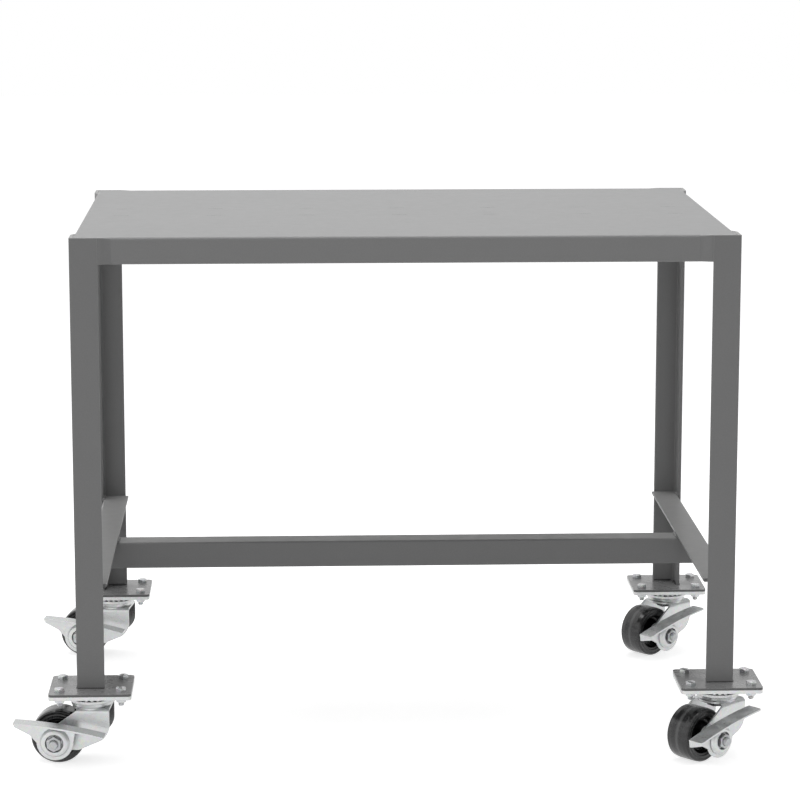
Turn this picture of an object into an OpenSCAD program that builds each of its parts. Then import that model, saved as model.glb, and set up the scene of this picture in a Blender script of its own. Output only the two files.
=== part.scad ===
// Mobile machine table: sheet steel deck on welded angle legs, four braked swivel casters.
// Millimetres, +Z up, origin on the floor under the middle of the table.

/* [Table] */
// Width of the table over the legs
table_w = 914.4; // [500:0.1:1500]
// Depth of the table over the legs
table_d = 609.6; // [420:0.1:900]
// Height of the work surface above the floor
table_h = 736.6; // [600:0.1:1000]

/* [Angle steel] */
// Width of each flange of the steel angle
angle_w = 38.1; // [32:0.1:60]
// Thickness of the steel angle
angle_t = 4.76; // [3:0.01:8]
// Fillet inside the root of the angle
root_r = 3.2; // [1:0.1:5]
// Rounding of the toes of the angle
toe_r = 2.4; // [0.5:0.1:2.8]
// Rounding of the outer heel of a leg
leg_heel_r = 1.2; // [0.4:0.1:3]
// Rounding of the outer heel of a stretcher
stretcher_heel_r = 3.6; // [0.4:0.1:5]

/* [Deck] */
// Thickness of the deck sheet
sheet_t = 1.9; // [1.2:0.1:3]
// Outer radius of the bend round the deck
bend_r = 3.8; // [3.2:0.1:6]
// Height of the turned-down flange
deck_flange_h = 37; // [28:0.1:60]
// Width of the return lip under the flange
deck_lip_w = 14; // [8:0.1:22]
// Clearance cut from the flange ends beside the legs
deck_notch = 5; // [3.4:0.1:7.5]
// Height of the hat section under the deck
hat_h = 28; // [15:0.1:34]
// Width of the crown of the hat section
hat_crown_w = 50; // [30:0.1:90]
// Width of each brim of the hat section
hat_brim_w = 18; // [10:0.1:30]

/* [Stretchers] */
// Depth of the side stretchers below the work surface
stretcher_drop = 482.6; // [200:0.1:520]
// Gap from the end of a side stretcher to the leg flange
stretcher_end_gap = 6; // [4:0.1:20]
// Gap from the end of the middle stretcher to the side stretcher
cope_gap = 4; // [3.4:0.1:10]

/* [Plates and bolts] */
// Width of the leg plates and caster plates
plate_w = 114.3; // [100:0.1:140]
// Depth of the leg plates and caster plates
plate_d = 101.6; // [90:0.1:130]
// Thickness of the leg plates
leg_plate_t = 3.4; // [2:0.1:8]
// Thickness of the caster plates
caster_plate_t = 5; // [3:0.1:8]
// Corner radius of the plates
plate_corner_r = 6; // [2:0.1:12]
// Bolt spacing across the table
bolt_pitch_x = 85; // [78:0.1:94]
// Bolt spacing along the depth of the table
bolt_pitch_y = 66; // [63:0.1:76]
// Thread diameter of the mount bolts
bolt_d = 8; // [6:0.1:8.4]
// Width across flats of the mount bolt heads and nuts
bolt_af = 13; // [10:0.1:14]
// Height of the mount bolt heads
bolt_head_h = 5.3; // [3:0.1:8]
// Height of the mount nuts
bolt_nut_h = 6.8; // [4:0.1:9]
// Length of thread that shows below a mount nut
bolt_end_h = 5; // [1:0.1:12]

/* [Swivel] */
// Distance from the swivel axis back to the axle
trail = 46; // [40:0.1:60]
// Height of the fork crown above the top of the wheel
crown_gap = 1.8; // [1.2:0.1:12]
// Thickness of the fork sheet
fork_t = 3; // [2:0.1:5]
// Inside width of the fork
fork_gap = 50.8; // [50:0.1:60]
// Outer bend radius where a fork cheek leaves the crown
fork_bend_r = 6; // [5.2:0.1:9]
// Height of the lower ball race above the crown
bowl_h = 10.4; // [7:0.1:14]
// Radius of the lower ball race at its rim
bowl_r = 31; // [30:0.1:36]
// Height of the open band that shows the balls
race_gap = 2.1; // [1.4:0.1:4.4]
// Height of the upper ball race below the plate
upper_race_h = 5.8; // [4.8:0.1:9]
// Diameter of the bearing balls
ball_d = 6.4; // [5:0.1:6.8]
// Number of bearing balls
ball_count = 22; // [12:1:24]
// Diameter of the kingpin
kingpin_d = 16; // [12:0.1:22]
// Width across flats of the kingpin nut
kingpin_af = 24; // [20:0.1:28]
// Height of the kingpin nut
kingpin_nut_h = 7; // [4:0.1:9]

/* [Wheel] */
// Diameter of the wheel
wheel_d = 76.2; // [66:0.1:90]
// Width of the tread
tread_w = 38; // [28:0.1:40]
// Radius of the hollow in each wheel face
recess_r = 26; // [24:0.1:32]
// Thickness of the web between hub and rim
web_t = 12; // [6:0.1:20]
// Diameter of the hub
hub_d = 31; // [28:0.1:38]
// Diameter of the axle bolt
axle_d = 12; // [10:0.1:13]
// Outer diameter of the hub bearing
bearing_d = 20; // [18:0.1:23]

/* [Brake] */
// Radius of the cheek round the axle
cheek_eye_r = 16; // [13.6:0.1:17]
// Width across flats of the axle bolt head and nut
axle_af = 19; // [16:0.1:19]
// Thickness of the lever sheet
lever_t = 2.4; // [1.6:0.1:4]
// Width of the pedal flange of the lever
pedal_w = 24; // [16:0.1:32]
// Reach of the pedal behind the axle
pedal_back = 59.5; // [50:0.1:80]
// Reach of the pedal ahead of the axle
pedal_front = 67.5; // [50:0.1:80]
// Height of the pedal above the axle
pedal_rise = 27.4; // [26.6:0.1:34]
// Radius of the round lobe of the lever
lobe_r = 25.4; // [22:0.1:26]
// Travel of the brake shoe
shoe_travel = 1.1; // [0.5:0.1:1.4]
// Thickness of the brake shoe
shoe_t = 1.8; // [1:0.1:2]
// Radius of the pressure disc under the axle nut
disc_r = 20.5; // [16:0.1:22]
// Height of the rim of the pressure disc
disc_h = 6.3; // [4.5:0.1:8]

/* [Resting position] */
// Swivel angle of the front left caster, towards its trail
swivel_angle_fl = 175.5; // [0:0.5:360]
// Swivel angle of the front right caster
swivel_angle_fr = 220.5; // [0:0.5:360]
// Swivel angle of the rear left caster
swivel_angle_rl = 172; // [0:0.5:360]
// Swivel angle of the rear right caster
swivel_angle_rr = 220.5; // [0:0.5:360]
// Half of the rocking travel of a brake lever
rock = 10; // [4:0.5:12]

/* [Hidden] */
$fn = 64;

// Overrun of every cut beyond the face it cuts
over = 1;
// Radial clearance of a bore round its pin
pin_fit = 0.05;
// Gap between faces that rub past each other
face_fit = 0.3;
// Gap between a ball and its race
ball_fit = 0.25;

paint = [0.36, 0.37, 0.37];
zinc = [0.78, 0.79, 0.80];
phenolic = [0.16, 0.16, 0.16];
bronze = [0.62, 0.50, 0.32];

// Heights above the floor, from the wheel up to the deck
axle_z = wheel_d / 2;
crown_z = wheel_d + crown_gap;
crown_top_z = crown_z + fork_t;
bowl_rim_z = crown_top_z + bowl_h;
upper_race_z = bowl_rim_z + race_gap;
caster_plate_z = upper_race_z + upper_race_h;
leg_plate_z = caster_plate_z + caster_plate_t;
leg_z = leg_plate_z + leg_plate_t;
leg_h = table_h - leg_z;
ball_z = bowl_rim_z + race_gap / 2;
ball_r = ball_d / 2;

// Radii of the swivel head, from the ball circle in and out
race_groove_r = ball_r + ball_fit;
race_lip = 0.7;
ball_pitch_r = bowl_r - race_lip - race_groove_r;
race_land = 1.6;
race_inner_r = ball_pitch_r - race_groove_r - race_land;
bowl_foot_margin = 1.4;
bowl_foot_r = fork_gap / 2 + fork_t - bowl_foot_margin;
bowl_belly_drop = 2.4;
bowl_belly_r = bowl_r - bowl_belly_drop;
bowl_belly_h = 1.8;
bowl_band_h = 3.8;
bowl_step = 1.7;
bowl_step_h = 0.7;
bowl_floor_t = 2.5;
upper_race_flare = 2;
kingpin_flare = 2.5;
kingpin_head_r = kingpin_d / 2 + kingpin_flare;

// Corner positions of the four legs and casters, as signs of X and Y
corner_fl = [-1, -1];
corner_fr = [1, -1];
corner_rl = [-1, 1];
corner_rr = [1, 1];
caster_x = table_w / 2 - angle_w / 2;
caster_y = table_d / 2 - angle_w / 2;

// Fork outline in the plane of a cheek, measured from the swivel axis and the floor
fork_lead = 27.4;
crown_back = 18.5;
cheek_in_y = fork_gap / 2;
cheek_out_y = cheek_in_y + fork_t;
cheek_knee_r = 26;
cheek_knee_rise = 19.5;
cheek_knee_z = axle_z + cheek_knee_rise;
cheek_belly_r = 16;
cheek_belly_ahead = 27.5;
tuck_share = 0.994;

// Brake stack along the axle, outwards from the near cheek
shoe_pin_r = 2;
shoe_pin_fit = 0.3;
shoe_pin_pitch_r = 10.5;
shoe_pin_count = 3;
shoe_out_y = cheek_in_y - face_fit;
pin_proud = 2.1;
pin_end_y = cheek_out_y + pin_proud;
cam_r = 15;
cam_face_y = pin_end_y + face_fit;
cam_ramp_w = 5.4;
cam_stack = 16.6;
web_y = cheek_out_y + cam_stack;
web_out_y = web_y + lever_t;
disc_y = web_out_y + face_fit;
disc_floor = 2.2;
disc_recess_gap = 0.5;
disc_recess_r = axle_af / sqrt(3) + disc_recess_gap;
disc_land = 2.5;
nut_y = disc_y + disc_floor;
nut_h = 8;
axle_proud = 4.8;
axle_end_y = nut_y + nut_h + axle_proud;
axle_head_h = 7.5;
shoe_rest_gap = 0.1;
hub_near_y = shoe_out_y - shoe_t - shoe_travel - shoe_rest_gap;
hub_far_y = -cheek_in_y + face_fit;

// Lever outline, measured from the axle
arch_ahead = 20;
arch_drop_share = 0.1;
pedal_steps = 16;
web_tip_h = 11;
web_waist_x = 36;
web_waist_z = 4;
pedal_corner_r = 4;

// Corner of a square corner left outside a quarter circle, for rounding and fillets
module spandrel(r) {
    difference() {
        square(r);
        translate([r, r])
            circle(r);
    }
}

// Cross-section of a steel angle with its heel at the origin
module angle_section(heel_r) {
    difference() {
        union() {
            square([angle_w, angle_t]);
            square([angle_t, angle_w]);
            translate([angle_t, angle_t])
                spandrel(root_r);
        }
        spandrel(heel_r);
        translate([angle_w, angle_t])
            rotate(180)
                spandrel(toe_r);
        translate([angle_t, angle_w])
            rotate(180)
                spandrel(toe_r);
    }
}

// Places a piece that is drawn for the front left corner at any corner
module at_corner(c) {
    mirror([c[0] > 0 ? 1 : 0, 0, 0])
        mirror([0, c[1] > 0 ? 1 : 0, 0])
            children();
}

// Leg: an upright angle with its heel at the outer corner
module leg(c) {
    color(paint)
        at_corner(c)
            translate([-table_w / 2, -table_d / 2, leg_z])
                linear_extrude(leg_h)
                    angle_section(leg_heel_r);
}

// Half sizes of the deck, which stands inside the flanges of the legs
deck_x = table_w / 2 - angle_t;
deck_y = table_d / 2 - angle_t;
deck_cut = root_r + face_fit;

// Bend, flange and return lip along one edge of the deck, in the plane across that edge
module deck_edge_section() {
    difference() {
        square([deck_lip_w, deck_flange_h]);
        translate([sheet_t, sheet_t])
            square([deck_lip_w, deck_flange_h - 2 * sheet_t]);
        translate([0, deck_flange_h])
            rotate(-90)
                spandrel(bend_r);
        spandrel(bend_r);
    }
    translate([sheet_t, deck_flange_h - sheet_t])
        rotate(-90)
            spandrel(bend_r - sheet_t);
    translate([sheet_t, sheet_t])
        spandrel(bend_r - sheet_t);
}

// One side of the deck from the bend down, with the lip mitred at both ends
module deck_edge(half_len) {
    run = 2 * (half_len - deck_notch);
    intersection() {
        translate([0, run / 2, 0])
            rotate([90, 0, 0])
                linear_extrude(run)
                    deck_edge_section();
        linear_extrude(deck_flange_h)
            polygon([
                [0, -run / 2],
                [deck_notch, -run / 2],
                [deck_lip_w, -run / 2 + deck_lip_w - deck_notch],
                [deck_lip_w, run / 2 - deck_lip_w + deck_notch],
                [deck_notch, run / 2],
                [0, run / 2]
            ]);
    }
}

// Deck: flat sheet with a turned-down flange and return lip on four sides
module deck() {
    color(paint) {
        translate([0, 0, table_h - sheet_t])
            linear_extrude(sheet_t)
                difference() {
                    union() {
                        square([2 * (deck_x - bend_r), 2 * (deck_y - bend_r)], center = true);
                        for (sx = [0, 1], sy = [0, 1])
                            mirror([sx, 0])
                                mirror([0, sy])
                                    translate([-deck_x, -deck_y])
                                        square(deck_notch);
                    }
                    for (sx = [-1, 1], sy = [-1, 1])
                        translate([sx * deck_x, sy * deck_y])
                            rotate(45)
                                square(deck_cut * sqrt(2), center = true);
                }
        for (sx = [0, 1])
            mirror([sx, 0, 0])
                translate([-deck_x, 0, table_h - deck_flange_h])
                    deck_edge(deck_y);
        for (sy = [0, 1])
            mirror([0, sy, 0])
                translate([0, -deck_y, table_h - deck_flange_h])
                    rotate(90)
                        mirror([0, 1, 0])
                            deck_edge(deck_x);
    }
}

// Cross-section of the hat: crown down, two brims up against the sheet
module hat_section() {
    half = hat_crown_w / 2;
    for (s = [0, 1])
        mirror([s, 0]) {
            square([half, sheet_t]);
            translate([half - sheet_t, 0])
                square([sheet_t, hat_h]);
            translate([half - sheet_t, hat_h - sheet_t])
                square([hat_brim_w + sheet_t, sheet_t]);
        }
}

// Deck stiffener: a hat section welded under the middle of the deck
module deck_stiffener() {
    half_len = deck_x - deck_lip_w - stretcher_end_gap;
    color(paint)
        translate([-half_len, 0, table_h - sheet_t - hat_h])
            rotate([90, 0, 90])
                linear_extrude(2 * half_len)
                    hat_section();
}

// Side stretcher: flange on top and inwards, the other flange down against the legs
stretcher_z = table_h - stretcher_drop;
side_half_len = table_d / 2 - angle_t - stretcher_end_gap;
module side_stretcher(side) {
    color(paint)
        mirror([side > 0 ? 1 : 0, 0, 0])
            translate([-table_w / 2 + angle_t, side_half_len, stretcher_z])
                rotate([90, 0, 0])
                    linear_extrude(2 * side_half_len)
                        mirror([0, 1])
                            angle_section(stretcher_heel_r);
}

// Middle stretcher: tucked under the top flanges of the side stretchers
module center_stretcher() {
    half_len = table_w / 2 - 2 * angle_t - cope_gap;
    color(paint)
        translate([-half_len, -angle_w / 2, stretcher_z - angle_t])
            rotate([90, 0, 90])
                linear_extrude(2 * half_len)
                    mirror([0, 1])
                        angle_section(stretcher_heel_r);
}

// Plate outline with rounded corners, centred on the swivel axis
module plate_outline() {
    difference() {
        square([plate_w, plate_d], center = true);
        for (sx = [0, 1], sy = [0, 1])
            mirror([sx, 0])
                mirror([0, sy])
                    translate([-plate_w / 2, -plate_d / 2])
                        spandrel(plate_corner_r);
    }
}

// Repeats a piece at the four mount bolts of a plate
module at_bolts() {
    for (sx = [-1, 1], sy = [-1, 1])
        translate([sx * bolt_pitch_x / 2, sy * bolt_pitch_y / 2, 0])
            children();
}

// Moves a piece to the swivel axis of a corner, still square to the table
module at_caster(c) {
    translate([c[0] * caster_x, c[1] * caster_y, 0])
        children();
}

// Moves a piece to a caster and turns it to that caster's resting angle
module turned(c, angle) {
    at_caster(c)
        rotate(angle)
            children();
}

// Leg plate: welded under the leg, drilled for the mount bolts
bolt_hole_gap = 0.5;
bolt_hole_r = bolt_d / 2 + bolt_hole_gap;
module leg_plate(c) {
    color(paint)
        at_caster(c)
            translate([0, 0, leg_plate_z])
                linear_extrude(leg_plate_t)
                    difference() {
                        plate_outline();
                        at_bolts()
                            circle(bolt_hole_r);
                    }
}

// Hexagonal prism with its axis up, given the width across its flats
module hex_prism(af, h) {
    cylinder(h = h, r = af / sqrt(3), $fn = 6);
}

// Mount bolts: hexagon head above the leg plate, thread below the nut
head_crown_share = 0.5;
bolt_grip = leg_plate_t + caster_plate_t;
bolt_len = bolt_grip + bolt_nut_h + bolt_end_h;
module mount_bolts() {
    color(zinc)
        for (c = [corner_fl, corner_fr, corner_rl, corner_rr])
            at_caster(c)
                at_bolts() {
                    translate([0, 0, leg_z])
                        intersection() {
                            hex_prism(bolt_af, bolt_head_h);
                            cylinder(h = bolt_head_h, r1 = bolt_af, r2 = bolt_af * head_crown_share);
                        }
                    translate([0, 0, leg_z - bolt_len])
                        cylinder(h = bolt_len, d = bolt_d);
                }
}

// Mount nuts: one under each bolt hole of the caster plates
module mount_nuts() {
    color(zinc)
        for (c = [corner_fl, corner_fr, corner_rl, corner_rr])
            at_caster(c)
                at_bolts()
                    translate([0, 0, caster_plate_z - bolt_nut_h])
                        difference() {
                            hex_prism(bolt_af, bolt_nut_h);
                            translate([0, 0, -over])
                                cylinder(h = bolt_nut_h + 2 * over, r = bolt_d / 2 + pin_fit);
                        }
}

// Groove of the ball race, as a ring of round section
module race_groove() {
    translate([ball_pitch_r, ball_z])
        circle(race_groove_r);
}

// Caster plate: drilled plate with the upper ball race under it
module caster_plate(c) {
    color(zinc)
        at_caster(c)
            difference() {
                union() {
                    translate([0, 0, caster_plate_z])
                        linear_extrude(caster_plate_t)
                            difference() {
                                plate_outline();
                                at_bolts()
                                    circle(bolt_hole_r);
                            }
                    rotate_extrude()
                        difference() {
                            polygon([
                                [race_inner_r, upper_race_z],
                                [bowl_r - race_lip, upper_race_z],
                                [bowl_r + upper_race_flare, caster_plate_z],
                                [bowl_r + upper_race_flare, caster_plate_z + over],
                                [race_inner_r, caster_plate_z + over]
                            ]);
                            race_groove();
                        }
                }
                translate([0, 0, caster_plate_z - over])
                    cylinder(h = caster_plate_t + 2 * over, r = kingpin_d / 2 + pin_fit);
                translate([0, 0, leg_plate_z - kingpin_flare])
                    cylinder(h = kingpin_flare, r1 = kingpin_d / 2 + pin_fit, r2 = kingpin_head_r + pin_fit);
            }
}

// Kingpins: countersunk in the caster plates, closed by a nut under the fork crowns
module kingpins() {
    shank_z = crown_z - face_fit;
    color(zinc)
        for (c = [corner_fl, corner_fr, corner_rl, corner_rr])
            at_caster(c) {
                translate([0, 0, shank_z])
                    cylinder(h = leg_plate_z - shank_z, d = kingpin_d);
                translate([0, 0, leg_plate_z - kingpin_flare])
                    cylinder(h = kingpin_flare, r1 = kingpin_d / 2, r2 = kingpin_head_r);
                translate([0, 0, shank_z - kingpin_nut_h])
                    hex_prism(kingpin_af, kingpin_nut_h);
            }
}

// Bearing balls between the two races
module swivel_balls(c, angle) {
    color(zinc)
        turned(c, angle)
            for (i = [0 : ball_count - 1])
                rotate(i * 360 / ball_count)
                    translate([ball_pitch_r, 0, ball_z])
                        sphere(r = ball_r);
}

// Outline of the fork seen from its side: crown, cheek and the eye round the axle
module fork_side() {
    knee_x = -fork_lead + cheek_knee_r;
    belly_x = trail - cheek_belly_ahead;
    belly_z = axle_z - cheek_eye_r + cheek_belly_r;
    low_gap = norm([belly_x - knee_x, belly_z - cheek_knee_z]);
    low_slope = atan2(belly_z - cheek_knee_z, belly_x - knee_x);
    low_turn = low_slope - acos((cheek_knee_r - cheek_belly_r) / low_gap);
    back_gap = norm([trail - crown_back, axle_z - crown_z]);
    back_turn = atan2(crown_z - axle_z, crown_back - trail) - acos(cheek_eye_r / back_gap);
    knee_reach = cheek_knee_r * tuck_share;
    belly_reach = cheek_belly_r * tuck_share;
    eye_reach = cheek_eye_r * tuck_share;
    translate([trail, axle_z])
        circle(cheek_eye_r);
    translate([belly_x, belly_z])
        circle(cheek_belly_r);
    translate([knee_x, cheek_knee_z])
        circle(cheek_knee_r);
    polygon([
        [-fork_lead, crown_top_z],
        [crown_back, crown_top_z],
        [crown_back, crown_z],
        [trail + eye_reach * cos(back_turn), axle_z + eye_reach * sin(back_turn)],
        [trail, axle_z],
        [trail, axle_z - eye_reach],
        [belly_x, axle_z - eye_reach],
        [belly_x + belly_reach * cos(low_turn), belly_z + belly_reach * sin(low_turn)],
        [knee_x + knee_reach * cos(low_turn), cheek_knee_z + knee_reach * sin(low_turn)],
        [knee_x, cheek_knee_z],
        [-fork_lead, cheek_knee_z]
    ]);
}

// Cross-section of the fork: crown and two cheeks bent down from one sheet
module fork_section() {
    inner_r = fork_bend_r - fork_t;
    cheek_h = crown_top_z;
    difference() {
        translate([-cheek_out_y, 0])
            square([2 * cheek_out_y, cheek_h]);
        translate([-cheek_in_y, -over])
            square([fork_gap, crown_z + over]);
        for (s = [0, 1])
            mirror([s, 0])
                translate([-cheek_out_y, crown_top_z])
                    rotate(-90)
                        spandrel(fork_bend_r);
    }
    for (s = [0, 1])
        mirror([s, 0])
            translate([-cheek_in_y, crown_z])
                rotate(-90)
                    spandrel(inner_r);
}

// Swivel fork: crown with the lower ball race and two cheeks that carry the axle
module swivel_fork(c, angle) {
    color(zinc)
        turned(c, angle)
            difference() {
                union() {
                    intersection() {
                        translate([-fork_lead, 0, 0])
                            rotate([90, 0, 90])
                                linear_extrude(fork_lead + trail + cheek_eye_r)
                                    fork_section();
                        translate([0, cheek_out_y, 0])
                            rotate([90, 0, 0])
                                linear_extrude(2 * cheek_out_y)
                                    fork_side();
                    }
                    rotate_extrude()
                        difference() {
                            polygon([
                                [0, crown_z],
                                [bowl_foot_r, crown_z],
                                [bowl_foot_r, crown_top_z],
                                [bowl_belly_r, crown_top_z + bowl_belly_h],
                                [bowl_r - bowl_step, bowl_rim_z - bowl_band_h - bowl_step_h],
                                [bowl_r, bowl_rim_z - bowl_band_h],
                                [bowl_r, bowl_rim_z],
                                [race_inner_r, bowl_rim_z],
                                [race_inner_r - race_land, crown_top_z + bowl_floor_t],
                                [0, crown_top_z + bowl_floor_t]
                            ]);
                            race_groove();
                        }
                }
                translate([0, 0, crown_z - over])
                    cylinder(h = fork_t + bowl_floor_t + 2 * over, r = kingpin_d / 2 + pin_fit);
                translate([trail, cheek_out_y + over, axle_z])
                    rotate([90, 0, 0])
                        cylinder(h = 2 * (cheek_out_y + over), r = axle_d / 2 + pin_fit);
                translate([trail, 0, axle_z])
                    at_shoe_pins()
                        rotate([-90, 0, 0])
                            cylinder(h = cheek_out_y + over, r = shoe_pin_r + shoe_pin_fit);
            }
}

// Repeats a piece at the push pins of the brake shoe, round the axle
module at_shoe_pins() {
    for (i = [0 : shoe_pin_count - 1])
        rotate([0, i * 360 / shoe_pin_count, 0])
            translate([0, 0, shoe_pin_pitch_r])
                children();
}

// Turns a revolved piece so that its axis lies along the axle, outwards
module on_axle() {
    translate([trail, 0, axle_z])
        rotate([-90, 0, 0])
            children();
}

// Half profile of the wheel: crowned tread, hollow faces and hub
tread_flat_share = 0.55;
tread_drop = 0.7;
rim_round = 1.6;
rim_lip = 2.6;
rim_lip_depth = 1.4;
recess_draft = 2;
web_round = 3;
module wheel_section() {
    half = tread_w / 2;
    top = wheel_d / 2;
    flat = half * tread_flat_share;
    web = web_t / 2;
    polygon([
        [bearing_d / 2 + pin_fit, hub_far_y],
        [hub_d / 2, hub_far_y],
        [hub_d / 2 + recess_draft / 2, -web - web_round],
        [hub_d / 2 + recess_draft / 2 + web_round, -web],
        [recess_r - recess_draft - web_round, -web],
        [recess_r - recess_draft, -web - web_round],
        [recess_r, -half + rim_lip_depth],
        [recess_r + rim_lip, -half + rim_lip_depth],
        [recess_r + rim_lip, -half],
        [top - tread_drop - rim_round, -half],
        [top - tread_drop, -half + rim_round],
        [top, -flat],
        [top, flat],
        [top - tread_drop, half - rim_round],
        [top - tread_drop - rim_round, half],
        [recess_r + rim_lip, half],
        [recess_r + rim_lip, half - rim_lip_depth],
        [recess_r, half - rim_lip_depth],
        [recess_r - recess_draft, web + web_round],
        [recess_r - recess_draft - web_round, web],
        [hub_d / 2 + recess_draft / 2 + web_round, web],
        [hub_d / 2 + recess_draft / 2, web + web_round],
        [hub_d / 2, hub_near_y],
        [bearing_d / 2 + pin_fit, hub_near_y]
    ]);
}

// Wheel: moulded phenolic
module wheel(c, angle) {
    color(phenolic)
        turned(c, angle)
            on_axle()
                rotate_extrude()
                    wheel_section();
}

// Hub bearing: a plain bush pressed into the hub
module hub_bearing(c, angle) {
    color(bronze)
        turned(c, angle)
            on_axle()
                translate([0, 0, hub_far_y])
                    difference() {
                        cylinder(h = hub_near_y - hub_far_y, d = bearing_d);
                        translate([0, 0, -over])
                            cylinder(h = hub_near_y - hub_far_y + 2 * over, r = axle_d / 2 + pin_fit);
                    }
}

// Axle bolt: hexagon head outside the far cheek, thread end beyond the axle nut
module axle_bolt(c, angle) {
    color(zinc)
        turned(c, angle)
            on_axle() {
                translate([0, 0, -cheek_out_y - axle_head_h])
                    hex_prism(axle_af, axle_head_h);
                translate([0, 0, -cheek_out_y])
                    cylinder(h = axle_end_y + cheek_out_y, d = axle_d);
            }
}

// Axle nut: seated in the hollow of the pressure disc
module axle_nut(c, angle) {
    color(zinc)
        turned(c, angle)
            on_axle()
                translate([0, 0, nut_y])
                    difference() {
                        hex_prism(axle_af, nut_h);
                        translate([0, 0, -over])
                            cylinder(h = nut_h + 2 * over, r = axle_d / 2 + pin_fit);
                    }
}

// Pressure disc: dished washer that holds the lever on the axle
module pressure_disc(c, angle) {
    color(zinc)
        turned(c, angle)
            on_axle()
                rotate_extrude()
                    polygon([
                        [axle_d / 2 + pin_fit, disc_y],
                        [disc_r, disc_y],
                        [disc_r, disc_y + disc_floor / 2],
                        [disc_r - disc_land, disc_y + disc_h - disc_floor / 2],
                        [disc_r - 2 * disc_land, disc_y + disc_h],
                        [disc_recess_r + disc_land / 2, disc_y + disc_h],
                        [disc_recess_r, disc_y + disc_floor],
                        [axle_d / 2 + pin_fit, disc_y + disc_floor]
                    ]);
}

// Brake shoe: washer beside the hub, pushed in by pins that pass through the cheek
module brake_shoe(c, angle, locked) {
    slid = locked ? shoe_travel : 0;
    pin_len = pin_end_y - shoe_out_y;
    color(zinc)
        turned(c, angle)
            translate([0, -slid, 0]) {
                on_axle()
                    translate([0, 0, shoe_out_y - shoe_t])
                        difference() {
                            cylinder(h = shoe_t, d = hub_d);
                            translate([0, 0, -over])
                                cylinder(h = shoe_t + 2 * over, r = axle_d / 2 + pin_fit);
                        }
                translate([trail, shoe_out_y - shoe_t / 2, axle_z])
                    at_shoe_pins()
                        rotate([-90, 0, 0])
                            cylinder(h = pin_len + shoe_t / 2, r = shoe_pin_r);
            }
}

// Rocks a piece of the brake about the axle, positive with the front end up
module rocked(angle) {
    translate([trail, 0, axle_z])
        rotate([0, angle, 0])
            children();
}

// One ramp of the face cam, in the plane of its travel and the axle
ramp_run = shoe_pin_pitch_r * sin(2 * rock);
ramp_crest = 2.6;
module cam_ramp() {
    start = shoe_pin_r;
    polygon([
        [start, cam_face_y],
        [start + ramp_run, cam_face_y - shoe_travel],
        [start + ramp_run + ramp_crest, cam_face_y - shoe_travel],
        [start + ramp_run + ramp_crest, cam_face_y + over],
        [start, cam_face_y + over]
    ]);
}

// Brake cam: turns with the lever, and its ramps push the pins of the shoe
module brake_cam(c, angle, rest) {
    color(zinc)
        turned(c, angle)
            rocked(rest)
                difference() {
                    union() {
                        translate([0, cam_face_y, 0])
                            rotate([-90, 0, 0])
                                cylinder(h = web_y - cam_face_y, r = cam_r);
                        rotate([0, rock, 0])
                            at_shoe_pins()
                                mirror([1, 0, 0])
                                    translate([0, 0, -cam_ramp_w / 2])
                                        linear_extrude(cam_ramp_w)
                                            cam_ramp();
                    }
                    translate([0, cam_face_y - shoe_travel - over, 0])
                        rotate([-90, 0, 0])
                            cylinder(h = web_y + over, r = axle_d / 2 + pin_fit);
                }
}

// Height of the pedal above the axle at a distance behind it
function pedal_z(x) = pedal_rise - pedal_rise * arch_drop_share * pow((x + arch_ahead) / pedal_back, 2);

// Points along the pedal, lowered by a distance
function pedal_line(drop) = [
    for (i = [0 : pedal_steps])
        let (x = -pedal_front + i * (pedal_front + pedal_back) / pedal_steps)
            [x, pedal_z(x) - drop]
];

// Points of a list in reverse order
function reversed(list) = [for (i = [len(list) - 1 : -1 : 0]) list[i]];

// Outline of the lever web: under the pedal behind the axle, and the lobe round the axle
module lever_web() {
    back = [for (p = pedal_line(lever_t / 2)) if (p[0] > -lobe_r) p];
    circle(lobe_r);
    polygon(concat(
        [[-lobe_r, 0], [-lobe_r, pedal_z(-lobe_r) - lever_t / 2]],
        back,
        [[pedal_back, pedal_z(pedal_back) - web_tip_h], [web_waist_x, web_waist_z], [0, -lobe_r]]
    ));
}

// Brake lever: web with a round lobe and a pedal flange along its top
module brake_lever(c, angle, rest) {
    color(zinc)
        turned(c, angle)
            rocked(rest)
                difference() {
                    union() {
                        translate([0, web_out_y, 0])
                            rotate([90, 0, 0])
                                linear_extrude(lever_t)
                                    lever_web();
                        translate([0, web_y + pedal_w, 0])
                            rotate([90, 0, 0])
                                linear_extrude(pedal_w)
                                    polygon(concat(pedal_line(0), reversed(pedal_line(lever_t))));
                    }
                    translate([0, web_y - over, 0])
                        rotate([-90, 0, 0])
                            cylinder(h = lever_t + 2 * over, r = axle_d / 2 + pin_fit);
                    for (x = [-pedal_front, pedal_back])
                        translate([x, web_y + pedal_w, 0])
                            mirror([x > 0 ? 1 : 0, 0, 0])
                                mirror([0, 1, 0])
                                    linear_extrude(pedal_rise + over)
                                        spandrel(pedal_corner_r);
                }
}

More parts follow.
